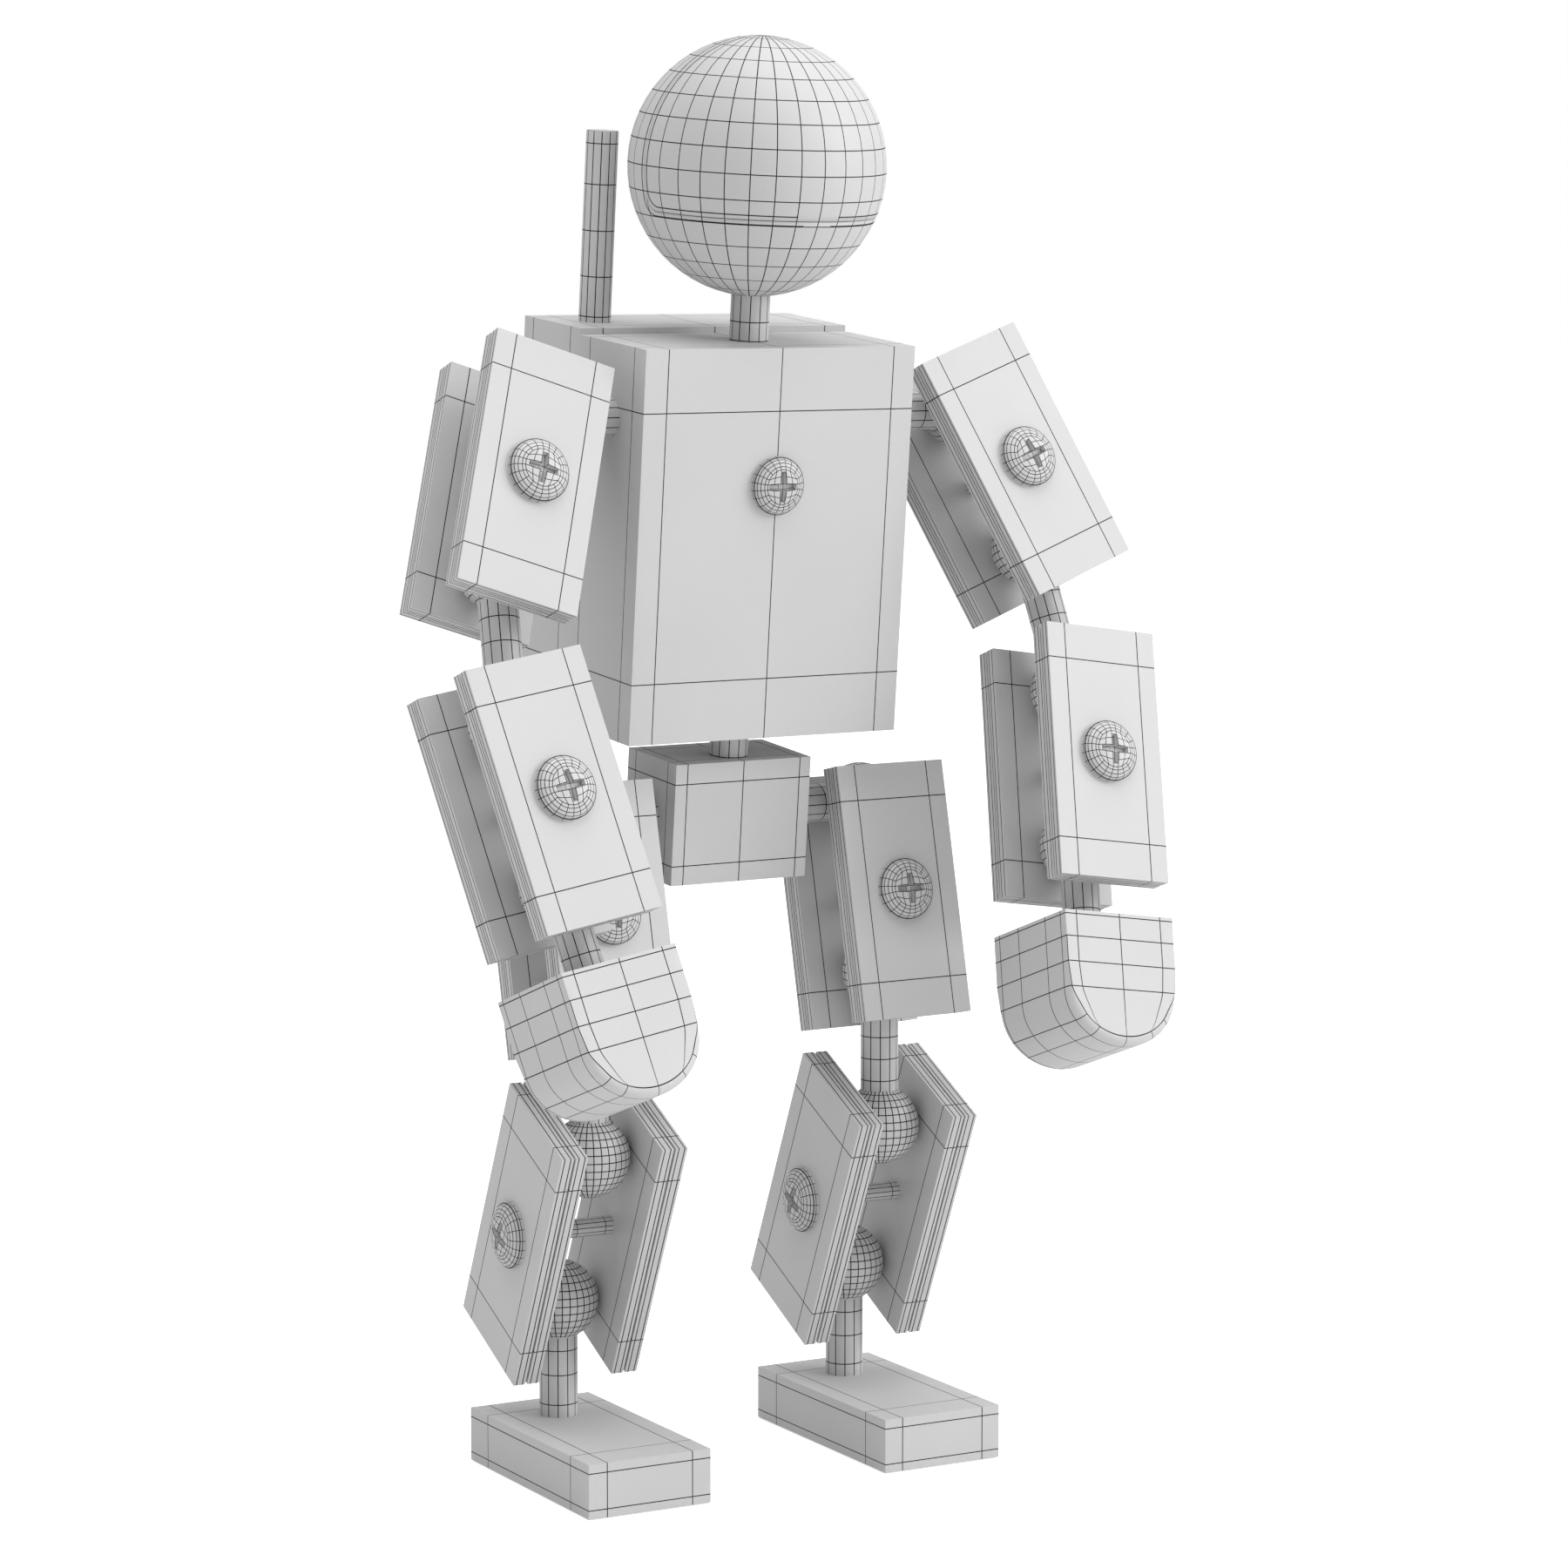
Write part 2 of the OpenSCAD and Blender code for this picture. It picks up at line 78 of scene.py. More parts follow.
# Head
HEAD_COLUMNS = 128
SEAM_LATITUDE = -20
SEAM_CORNER_R = 2.5
SEAM_GAP = 0.14
SEAM_LIFT = 0.03
SEAM_LINES = (-0.8, 0.8)
# Hands and feet
HAND_STRAIGHT = 14.2
HAND_RIM_R = 1.6
HAND_RIM_FADE = 0.4
FOOT_YAW = -2.2
# Looks, light and camera
SHELL_GREY = 0.56
FITTING_GREY = 0.55
FLOOR_GLOW = 0.62
AMBIENT = 0.55
CAMERA_AT = (-440.4, -738.4 + 9.26, 223.3)
CAMERA_AZIMUTH = -31.35
CAMERA_PITCH = 6.51
CAMERA_LENS = 109.9

SIDES = ("right", "left")
LINKS = {"upper_arm": ("arm_spread", "elbow_upper"), "forearm": ("elbow_lower", "wrist_bend"),
         "thigh": ("hip_spread", "knee_sway"), "shin": ("knee_bend", "ankle_bend")}

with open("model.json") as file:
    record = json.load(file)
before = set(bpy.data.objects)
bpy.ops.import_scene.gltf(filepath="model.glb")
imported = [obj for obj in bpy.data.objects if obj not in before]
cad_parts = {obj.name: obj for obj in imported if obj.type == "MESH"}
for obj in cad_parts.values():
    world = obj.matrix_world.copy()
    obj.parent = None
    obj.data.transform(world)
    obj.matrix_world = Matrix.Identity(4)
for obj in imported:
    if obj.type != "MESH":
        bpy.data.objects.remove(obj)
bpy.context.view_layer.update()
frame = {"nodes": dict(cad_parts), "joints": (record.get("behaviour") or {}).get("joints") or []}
joints = {j["name"]: j for j in frame["joints"]}


# ---- frames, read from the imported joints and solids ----
def joint_pos(name):
    return Vector(joints[name]["pos_m"])


def joint_axis(name):
    return Vector(joints[name]["axis"]).normalized()


def frame_at(origin, z, y):
    """Right-handed frame with that Z, and Y as near as it can be to y."""
    z = z.normalized()
    y = (y - y.dot(z) * z).normalized()
    x = y.cross(z)
    m = Matrix((x, y, z)).transposed().to_4x4()
    m.translation = origin
    return m


def extent(node, at):
    """Lowest and highest corner of a CAD node in the frame at, in millimetres."""
    back = at.inverted()
    points = [back @ v.co for v in frame["nodes"][node].data.vertices]
    low = Vector([min(p[a] for p in points) for a in range(3)]) / MM
    high = Vector([max(p[a] for p in points) for a in range(3)]) / MM
    return low, high


def recentred(node, at):
    """The frame at, moved to the middle of a CAD node's box in it, and that box's half size in millimetres."""
    low, high = extent(node, at)
    return at @ Matrix.Translation((low + high) / 2 * MM), (high - low) / 2


# ---- mesh builders, in millimetres ----
def draw_lines(bm, edges, width):
    """Turns edges into flush strips of the line material."""
    if edges:
        bmesh.ops.bevel(bm, geom=list(edges), offset=width / 2, offset_type="OFFSET", segments=1,
                        affect="EDGES", material=1, clamp_overlap=False)


def grid_box(half, lines, fine=((), (), ())):
    """Closed box round the origin; lines and fine hold coordinates on each axis where its faces are divided."""
    bm = bmesh.new()
    marks = [sorted({-half[a], half[a], *lines[a], *fine[a]}) for a in range(3)]
    verts = {}

    def vert(index):
        if index not in verts:
            verts[index] = bm.verts.new([marks[a][index[a]] for a in range(3)])
        return verts[index]

    for axis in range(3):
        u, v = (axis + 1) % 3, (axis + 2) % 3
        for end in (0, len(marks[axis]) - 1):
            for i in range(len(marks[u]) - 1):
                for j in range(len(marks[v]) - 1):
                    corners = []
                    for du, dv in ((0, 0), (1, 0), (1, 1), (0, 1)):
                        index = [0, 0, 0]
                        index[axis], index[u], index[v] = end, i + du, j + dv
                        corners.append(vert(tuple(index)))
                    if end == 0:
                        corners.reverse()
                    bm.faces.new(corners)
    return bm


def cut_edges(bm, axis, coordinates):
    """Edges that lie in planes across an axis."""
    return [e for e in bm.edges
            if any(abs(v0 - c) < 1e-4 and abs(v1 - c) < 1e-4
                   for v0, v1 in [(e.verts[0].co[axis], e.verts[1].co[axis])] for c in coordinates)]


def square_edges(bm):
    """Edges between faces that meet at more than a radian."""
    return [e for e in bm.edges if len(e.link_faces) == 2 and e.calc_face_angle(0.0) > 1.0]


def round_edges(bm, edges, radius):
    bmesh.ops.bevel(bm, geom=edges, offset=radius, offset_type="OFFSET", segments=EDGE_STEPS, profile=0.5,
                    affect="EDGES", clamp_overlap=False)


def at_fractions(half, fractions):
    """Coordinates on each axis of a box, from fractions of its size."""
    return [[half[a] * (2 * f - 1) for f in fractions[a]] for a in range(3)]


def lined_box(half, fractions, radius):
    """Box with rounded edges and lines round it at fractions of its size on each axis."""
    lines = at_fractions(half, fractions)
    bm = grid_box(half, lines)
    round_edges(bm, square_edges(bm), radius)
    draw_lines(bm, {e for a in range(3) for e in cut_edges(bm, a, lines[a])}, LINE_W)
    return bm


def lathe(profile, columns, width=LINE_W):
    """Closed surface turned about Z, with lines.

    The profile runs from bottom to top; a row is (radius, height, whether a ring is drawn, spokes drawn above).
    """
    bm = bmesh.new()
    rings = []
    for radius, height, _ring, _spokes in profile:
        if radius < 1e-6:
            rings.append([bm.verts.new((0, 0, height))])
        else:
            turn = [2 * math.pi * i / columns for i in range(columns)]
            rings.append([bm.verts.new((radius * math.cos(t), radius * math.sin(t), height)) for t in turn])
    for low, high in zip(rings, rings[1:]):
        for i in range(columns):
            j = (i + 1) % columns
            if len(low) == 1:
                bm.faces.new((low[0], high[j], high[i]))
            elif len(high) == 1:
                bm.faces.new((low[i], low[j], high[0]))
            else:
                bm.faces.new((low[i], low[j], high[j], high[i]))
    marked = set()
    for k, (_radius, _height, ring, spokes) in enumerate(profile):
        if ring and len(rings[k]) > 1:
            marked |= {bm.edges.get((rings[k][i], rings[k][(i + 1) % columns])) for i in range(columns)}
        if spokes and k + 1 < len(rings):
            for i in range(0, columns, columns // spokes):
                low = rings[k][i if len(rings[k]) > 1 else 0]
                high = rings[k + 1][i if len(rings[k + 1]) > 1 else 0]
                marked.add(bm.edges.get((low, high)))
    marked.discard(None)
    bmesh.ops.recalc_face_normals(bm, faces=bm.faces)
    draw_lines(bm, marked, width)
    return bm


def ball_profile(radius, centre, start, end, spokes):
    """Part of a ball's outline between two polar angles, measured from its lowest point."""
    steps = BALL_LATITUDES * 2
    latitudes = [math.pi * k / steps for k in range(steps + 1)]
    angles = [start] + [a for a in latitudes if start < a < end] + [end]
    rows = []
    for a in angles:
        step = a * steps / math.pi
        ring = abs(step - round(step)) < 1e-6 and round(step) % 2 == 0 and 0 < round(step) < steps
        across = radius * math.sin(a) if 0 < a < math.pi else 0.0
        rows.append((across, centre - radius * math.cos(a), ring, spokes))
    return rows


def rod_profile(radius, low, high, rings):
    """Rod from low to high with ring lines at those heights."""
    rows = [(radius, low, False, ROD_SPOKES)]
    rows += [(radius, z, True, ROD_SPOKES) for z in sorted(rings) if low < z < high]
    return rows + [(radius, high, False, 0)]


def plain_rod(radius, low, high, rings, width=LINE_W):
    """Rod with flat ends."""
    rows = [(0.0, low, False, 0)]
    rows += rod_profile(radius, low, high, rings)
    rows += [(0.0, high, False, 0)]
    return lathe(rows, ROD_COLUMNS, width)


def ball_rod(ball_r, low, rings, low_ball=None):
    """Ball round the origin on a rod that runs down from it: to low, or to a second ball centred there."""
    meet = math.asin((ROD_R + COLLAR) / ball_r)
    rows = []
    if low_ball:
        low_meet = math.pi - math.asin((ROD_R + COLLAR) / low_ball)
        rows += ball_profile(low_ball, low, 0.0, low_meet, BALL_SPOKES)
        start = low - low_ball * math.cos(low_meet) + COLLAR
    else:
        rows += [(0.0, low, False, 0)]
        start = low
    end = -ball_r * math.cos(meet) - COLLAR
    rows += rod_profile(ROD_R, start, end, rings)
    rows += ball_profile(ball_r, 0.0, meet, math.pi, BALL_SPOKES)
    return lathe(rows, BALL_COLUMNS)


def screw_head(radius, height):
    """Domed head on Z = 0: lines in a square pattern in the middle, spokes and rings towards the rim."""
    inner = 0.6 * radius
    cells = 5
    part = 4
    count = cells * part

    def dome(r):
        return SCREW_RIM_H + (height - SCREW_RIM_H) * math.sqrt(max(0.0, 1 - (r / (0.95 * radius)) ** 2))

    bm = bmesh.new()
    rows = []
    for i in range(count + 1):
        u = 2 * i / count - 1
        row = []
        for j in range(count + 1):
            v = 2 * j / count - 1
            x = inner * u * math.sqrt(1 - v * v / 2)
            y = inner * v * math.sqrt(1 - u * u / 2)
            row.append(bm.verts.new((x, y, dome(math.hypot(x, y)))))
        rows.append(row)
    lined = set()
    for i in range(count):
        for j in range(count):
            bm.faces.new((rows[i][j], rows[i + 1][j], rows[i + 1][j + 1], rows[i][j + 1]))
    for i in range(count + 1):
        for j in range(count):
            if i % part == 0:
                lined |= {(rows[i][j], rows[i][j + 1]), (rows[j][i], rows[j + 1][i])}
    ring = [rows[k][0] for k in range(count)] + [rows[count][k] for k in range(count)]
    ring += [rows[count - k][count] for k in range(count)] + [rows[0][count - k] for k in range(count)]
    turn = [math.atan2(v.co.y, v.co.x) for v in ring]
    dome_rings = [(f * radius, dome(f * radius), drawn)
                  for f, drawn in ((0.7, True), (0.76, False), (0.82, True), (0.88, False), (0.92, True))]
    rim_rings = [(0.95 * radius, SCREW_RIM_H, False), (0.98 * radius, SCREW_RIM_H, True),
                 (radius, SCREW_RIM_H - 0.06, True), (radius, 0.5 * SCREW_RIM_H, True), (radius, 0.0, False)]
    for r, z, drawn in dome_rings + rim_rings:
        nearer = ring
        ring = [bm.verts.new((r * math.cos(t), r * math.sin(t), z)) for t in turn]
        for k in range(len(ring)):
            m = (k + 1) % len(ring)
            bm.faces.new((nearer[k], ring[k], ring[m], nearer[m]))
            if drawn:
                lined.add((ring[k], ring[m]))
            if k % part == 0:
                lined.add((nearer[k], ring[k]))
    bm.faces.new(ring)
    edges = {bm.edges.get(pair) for pair in lined}
    bmesh.ops.recalc_face_normals(bm, faces=bm.faces)
    draw_lines(bm, edges, SCREW_LINE_W)
    return bm


def prism(points, low, high, axis):
    """Closed prism of a polygon, drawn in the plane across the axis."""
    bm = bmesh.new()
    ends = [[bm.verts.new((*p[:axis], h, *p[axis:])) for p in points] for h in (low, high)]
    bm.faces.new(ends[0])
    bm.faces.new(ends[1])
    for i in range(len(points)):
        j = (i + 1) % len(points)
        bm.faces.new((ends[0][i], ends[0][j], ends[1][j], ends[1][i]))
    bmesh.ops.recalc_face_normals(bm, faces=bm.faces)
    return bm


def joined(*parts):
    """Several bmeshes as one."""
    whole = bmesh.new()
    for part in parts:
        mesh = bpy.data.meshes.new("part")
        part.to_mesh(mesh)
        part.free()
        whole.from_mesh(mesh)
        bpy.data.meshes.remove(mesh)
    return whole


def moved(bm, x=0.0, y=0.0, z=0.0):
    bmesh.ops.translate(bm, vec=(x, y, z), verts=bm.verts)
    return bm


def turned(bm, angle, axis):
    turn = Matrix.Rotation(math.radians(angle), 3, axis)
    bmesh.ops.rotate(bm, cent=(0, 0, 0), matrix=turn, verts=bm.verts)
    return bm


def ribbon(points, normals, width):
    """Closed strip of the line material along points on a surface."""
    bm = bmesh.new()
    count = len(points)
    rows = []
    for i in range(count):
        along = (points[(i + 1) % count] - points[i - 1]).normalized()
        side = normals[i].cross(along).normalized() * width / 2
        rows.append((bm.verts.new(points[i] - side), bm.verts.new(points[i] + side)))
    for i in range(count):
        j = (i + 1) % count
        face = bm.faces.new((rows[i][0], rows[j][0], rows[j][1], rows[i][1]))
        face.material_index = 1
    bm.normal_update()
    for face in bm.faces:
        near = min(range(count), key=lambda k: (points[k] - face.calc_center_median()).length)
        if face.normal.dot(normals[near]) < 0:
            face.normal_flip()
    return bm


# ---- materials ----
def ramp(tree, source, low, high):
    node = tree.nodes.new("ShaderNodeMapRange")
    node.inputs["To Min"].default_value = low
    node.inputs["To Max"].default_value = high
    tree.links.new(source, node.inputs["Value"])
    return node.outputs["Result"]


def noise(tree, coordinates, scale, detail=3.0, roughness=0.5):
    node = tree.nodes.new("ShaderNodeTexNoise")
    node.inputs["Scale"].default_value = scale
    node.inputs["Detail"].default_value = detail
    node.inputs["Roughness"].default_value = roughness
    tree.links.new(coordinates, node.inputs["Vector"])
    return node.outputs["Fac"]


def grained(name, colour, rough, grain=(2200, 0.006), peel=(420, 0.010), metallic=0.0, speck=0.02):
    """Painted or moulded surface: uneven tone and gloss, fine specks, moulding grain and a gentle ripple."""
    mat = bpy.data.materials.new(name)
    mat.use_nodes = True
    tree = mat.node_tree
    shader = tree.nodes["Principled BSDF"]
    place = tree.nodes.new("ShaderNodeTexCoord").outputs["Object"]
    broad = noise(tree, place, 45, 2.0)
    fine = noise(tree, place, grain[0], 2.0, 0.6)
    ripple = noise(tree, place, peel[0], 2.0)
    tone = tree.nodes.new("ShaderNodeMath")
    tone.operation = "MULTIPLY"
    tree.links.new(ramp(tree, broad, 0.965, 1.035), tone.inputs[0])
    tree.links.new(ramp(tree, fine, 1.0 - speck, 1.0 + speck), tone.inputs[1])
    mix = tree.nodes.new("ShaderNodeVectorMath")
    mix.operation = "SCALE"
    mix.inputs[0].default_value = colour
    tree.links.new(tone.outputs[0], mix.inputs["Scale"])
    tree.links.new(mix.outputs["Vector"], shader.inputs["Base Color"])
    tree.links.new(ramp(tree, ripple, rough - 0.07, rough + 0.07), shader.inputs["Roughness"])
    shader.inputs["Metallic"].default_value = metallic
    shader.inputs["Specular IOR Level"].default_value = 0.35
    coarse = tree.nodes.new("ShaderNodeBump")
    coarse.inputs["Distance"].default_value = peel[1] * MM
    tree.links.new(ripple, coarse.inputs["Height"])
    bump = tree.nodes.new("ShaderNodeBump")
    bump.inputs["Distance"].default_value = grain[1] * MM
    tree.links.new(fine, bump.inputs["Height"])
    tree.links.new(coarse.outputs["Normal"], bump.inputs["Normal"])
    tree.links.new(bump.outputs["Normal"], shader.inputs["Normal"])
    return mat


MATERIALS = {
    "block": grained("block_grey", (SHELL_GREY,) * 3, 0.58),
    "plate": grained("plate_grey", (SHELL_GREY,) * 3, 0.52, peel=(600, 0.008)),
    "head_shell": grained("head_grey", (SHELL_GREY,) * 3, 0.5, peel=(300, 0.006)),
    "rod": grained("rod_grey", (FITTING_GREY,) * 3, 0.42, grain=(3200, 0.004)),
    "screw_head": grained("screw_grey", (FITTING_GREY,) * 3, 0.42, grain=(3200, 0.004)),
    "fastener": grained("fastener_steel", (0.56, 0.56, 0.57), 0.34, grain=(3600, 0.004), metallic=1.0),
    "insert": grained("insert_brass", (0.72, 0.55, 0.28), 0.36, grain=(3600, 0.004), metallic=1.0),
}
LINE = grained("line_black", (0.012, 0.012, 0.012), 0.7)


def piece(name, bm, at, body, slot, nodes, scale=1.0, flat_weights=True):
    """Makes a piece of a bmesh in the frame at; it rides on body and stands for CAD nodes."""
    bmesh.ops.transform(bm, matrix=at @ Matrix.Scale(MM * scale, 4), verts=bm.verts)
    bm.normal_update()
    mesh = bpy.data.meshes.new(name)
    bm.to_mesh(mesh)
    bm.free()
    mesh.materials.append(MATERIALS[slot])
    mesh.materials.append(LINE)
    mesh.shade_smooth()
    obj = bpy.data.objects.new(name, mesh)
    bpy.context.scene.collection.objects.link(obj)
    if flat_weights:
        mesh.set_sharp_from_angle(angle=math.radians(SHARP_ANGLE))
        weights = obj.modifiers.new("weights", "WEIGHTED_NORMAL")
        weights.keep_sharp = True
        weights.weight = 100
    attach(obj, body)
    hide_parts(*nodes)
    return obj


def carve(target, cutter, operation="DIFFERENCE"):
    """Cuts one bmesh with another and returns the result."""
    made = []
    for bm, name in ((target, "target"), (cutter, "cutter")):
        mesh = bpy.data.meshes.new(name)
        bm.to_mesh(mesh)
        bm.free()
        mesh.materials.append(MATERIALS["block"])
        mesh.materials.append(LINE)
        obj = bpy.data.objects.new(name, mesh)
        bpy.context.scene.collection.objects.link(obj)
        made.append(obj)
    cut = made[0].modifiers.new("cut", "BOOLEAN")
    cut.operation = operation
    cut.solver = "EXACT"
    cut.object = made[1]
    graph = bpy.context.evaluated_depsgraph_get()
    result = bmesh.new()
    result.from_mesh(made[0].evaluated_get(graph).to_mesh())
    for obj in made:
        mesh = obj.data
        bpy.data.objects.remove(obj)
        bpy.data.meshes.remove(mesh)
    return result


def circle(radius, sides):
    """Corners of a regular polygon; the first lies on the first axis."""
    turn = [2 * math.pi * i / sides for i in range(sides)]
    return [(radius * math.cos(t), radius * math.sin(t)) for t in turn]


# ---- torso, head and pelvis ----
up = joint_axis("neck_turn")
top, bottom = joint_pos("neck_turn"), joint_pos("waist_turn")
torso = frame_at((top + bottom) / 2, up, Vector((0, 1, 0)))

chest_at, chest_half = recentred("chest_block", torso)
piece("chest", lined_box(chest_half, TORSO_LINES, BLOCK_EDGE_R), chest_at, "torso", "block", ["chest_block"])
rear_at, rear_half = recentred("rear_housing", torso)
piece("housing", lined_box(rear_half, TORSO_LINES, BLOCK_EDGE_R), rear_at, "torso", "block", ["rear_housing"])

antenna_at, antenna_half = recentred("antenna", torso)
antenna_r = antenna_half.x
antenna_l = 2 * antenna_half.z
shown = antenna_l - ANTENNA_SOCKET
antenna_rings = [antenna_l / 2 - f * shown for f in (0.066, 0.278, 0.52, 0.76, 0.97)]
antenna_rows = [(0.0, -antenna_l / 2, False, 0)]
antenna_rows += rod_profile(antenna_r, -antenna_l / 2, antenna_l / 2 - ANTENNA_CHAMFER, antenna_rings)
antenna_rows += [(antenna_r - ANTENNA_CHAMFER, antenna_l / 2, True, 0), (0.0, antenna_l / 2, False, 0)]
piece("antenna_rod", lathe(antenna_rows, ROD_COLUMNS), antenna_at, "torso", "block", ["antenna"])


def recess(height):
    """Cutter for a cross recess whose wings narrow outwards, for a head whose top is at height."""
    outline = []
    for k in range(4):
        turn = Matrix.Rotation(math.radians(90 * k), 2)
        outline += [turn @ Vector(p) for p in ((CROSS_HALF_L, -CROSS_TIP), (CROSS_HALF_L, CROSS_TIP),
                                               (CROSS_ROOT, CROSS_ROOT))]
    bm = bmesh.new()
    low, high = ([bm.verts.new((p.x * grow, p.y * grow, z)) for p in outline]
                 for grow, z in ((0.93, height - CROSS_DEPTH), (1.06, height + 0.3)))
    for k in range(12):
        bm.faces.new((low[k], low[(k + 1) % 12], high[(k + 1) % 12], high[k]))
    bm.faces.new([low[k] for k in (2, 5, 8, 11)])
    for k in (0, 3, 6, 9):
        bm.faces.new((low[k - 1], low[k], low[k + 1], low[k + 2]))
    bm.faces.new(high)
    bmesh.ops.recalc_face_normals(bm, faces=bm.faces)
    return bm


def cross_screw(radius, shank_l):
    """Domed screw with a lined cross recess; its head stands on Z = 0 and its shank runs down."""
    head = carve(screw_head(radius, SCREW_HEAD_H), recess(SCREW_HEAD_H))
    head.normal_update()
    floor_z = SCREW_HEAD_H - CROSS_DEPTH
    reach = CROSS_HALF_L * 1.1
    lined = []
    for e in head.edges:
        inside = all(math.hypot(v.co.x, v.co.y) < reach and v.co.z > floor_z - 0.01 for v in e.verts)
        if inside and len(e.link_faces) == 2:
            on_floor = all(abs(v.co.z - floor_z) < 0.001 for v in e.verts)
            if on_floor or e.calc_face_angle(0.0) > math.radians(40):
                lined.append(e)
    draw_lines(head, lined, RECESS_LINE_W)
    shank_rings = [-f * shank_l for f in (0.27, 0.5, 0.73)]
    return joined(head, plain_rod(SCREW_SHANK_R, -shank_l, 0.1, shank_rings, SCREW_LINE_W))


screw_low, screw_high = extent("chest_screw", torso)
screw_mid = (screw_low + screw_high) / 2
front = Vector((screw_mid.x, -chest_half.y, screw_mid.z))
screw_at = torso @ Matrix.Translation(front * MM) @ Matrix.Rotation(math.radians(90), 4, "X")
piece("chest_screw_head", cross_screw(screw_mid.x + (screw_high.x - screw_low.x) / 2, CHEST_SCREW_L),
      screw_at, "torso", "screw_head", ["chest_screw"])

# Head: one lined ball cut in two along the face shell's edge
skull_low, skull_high = extent("skull_shell", torso)
head_r = (skull_high.x - skull_low.x) / 2
head_at = torso @ Matrix.Translation(Vector((0, 0, skull_high.z - head_r)) * MM)


def seam_outline(grow, steps=10):
    """Side view (y, z) of the face shell's edge, from above the head to in front of it."""
    low = head_r * math.sin(math.radians(SEAM_LATITUDE)) - grow
    centre = (grow - SEAM_CORNER_R, low + SEAM_CORNER_R)
    arc = [(centre[0] + SEAM_CORNER_R * math.cos(a), centre[1] + SEAM_CORNER_R * math.sin(a))
           for a in [-k * math.pi / 2 / steps for k in range(steps + 1)]]
    return [(grow, 2 * head_r)] + arc + [(-2 * head_r, low)]


def face_prism(grow):
    """Everything on the face's side of its edge, moved outwards by grow."""
    return prism(seam_outline(grow) + [(-2 * head_r, 2 * head_r)], -2 * head_r, 2 * head_r, 0)


def head_ball():
    rows = ball_profile(head_r - SEAM_LIFT, 0.0, 0.0, math.pi, BALL_SPOKES)
    return lathe(rows, HEAD_COLUMNS)


def seam_ribbon(grow):
    """Line on the head that follows the face shell's edge at a distance."""
    outline = seam_outline(grow, 24)
    dense = []
    for (y0, z0), (y1, z1) in zip(outline, outline[1:]):
        count = 80 if math.hypot(y1 - y0, z1 - z0) > 5 else 1
        dense += [(y0 + (y1 - y0) * k / count, z0 + (z1 - z0) * k / count) for k in range(count)]
    side = [(y, z) for y, z in dense if y * y + z * z < (0.9995 * head_r) ** 2]
    points = [Vector((math.sqrt(head_r ** 2 - y * y - z * z), y, z)) for y, z in side]
    points += [Vector((-p.x, p.y, p.z)) for p in reversed(points)]
    return ribbon(points, [p.normalized() for p in points], LINE_W)


face = joined(carve(head_ball(), face_prism(-SEAM_GAP / 2), "INTERSECT"), seam_ribbon(SEAM_LINES[0]))
piece("face", face, head_at, "head", "head_shell", ["face_shell"], flat_weights=False)
skull = joined(carve(head_ball(), face_prism(SEAM_GAP / 2)), seam_ribbon(SEAM_LINES[1]))
piece("skull", skull, head_at, "head", "head_shell", ["skull_shell"], flat_weights=False)


def height_of_top(block_at, block_half, at):
    """Height of a block's top in the frame at, in millimetres."""
    return (at.inverted() @ (block_at @ Vector((0, 0, block_half.z * MM)))).z / MM


neck_at, neck_half = recentred("neck_rod", torso)
chest_top = height_of_top(chest_at, chest_half, neck_at)
neck = plain_rod(neck_half.x, -neck_half.z, neck_half.z, (chest_top + 0.15, chest_top + 3.5))
piece("neck", neck, neck_at, "head", "rod", ["neck_rod"])

pelvis_at, pelvis_half = recentred("pelvis_block", torso)
pelvis = lined_box(pelvis_half, PELVIS_LINES, BLOCK_EDGE_R)
hip_screws_high = extent("hip_set_screws", pelvis_at)[1]
for sign in (-1, 1):
    hole = turned(prism(circle(SET_SCREW_R, ROD_COLUMNS), -pelvis_half.y - 1, -SET_SCREW_FACE, 2), 90, "X")
    x = sign * (hip_screws_high.x - SET_SCREW_R)
    pelvis = carve(pelvis, moved(hole, x=x, z=hip_screws_high.z - SET_SCREW_R))
piece("pelvis_box", pelvis, pelvis_at, "pelvis", "block", ["pelvis_block"])
waist_at, waist_half = recentred("waist_rod", torso)
pelvis_top = height_of_top(pelvis_at, pelvis_half, waist_at)
waist = plain_rod(waist_half.x, -waist_half.z, waist_half.z, (pelvis_top + 0.2,))
piece("waist", waist, waist_at, "pelvis", "rod", ["waist_rod"])


# ---- limbs ----
def link_frame(side, link):
    """Middle of a link and its half size: Z up along it, Y from the screw's plate to the nut's."""
    upper, lower = (joint_pos(f"{side}_{j}") for j in LINKS[link])
    normal = joint_axis(f"{side}_{LINKS[link][0]}")
    front = normal.x if link == "shin" else normal.y
    near = normal if front < 0 else -normal
    at = frame_at(lower, upper - lower, -near)
    return recentred(f"{side}_{link}_outer_slabs", at)


def slab_pair(half, inner_face):
    """Two slabs whose inner faces are that far from the middle."""
    size = (half.x, SLAB_T / 2, half.z)
    centre_y = inner_face + SLAB_T / 2
    return [moved(lined_box(size, SLAB_LINES, SLAB_EDGE_R), y=sign * centre_y) for sign in (-1, 1)]


def land_pair(half, inner_face):
    """Two thin plates that fill the middle of the grooves beyond the inner slabs."""
    size = (half.x - LAND_INSET, GROOVE_W / 2 + LAND_OVERLAP, half.z - LAND_INSET)
    centre_y = inner_face + SLAB_T + GROOVE_W / 2
    return [moved(grid_box(size, ((), (), ())), y=sign * centre_y) for sign in (-1, 1)]


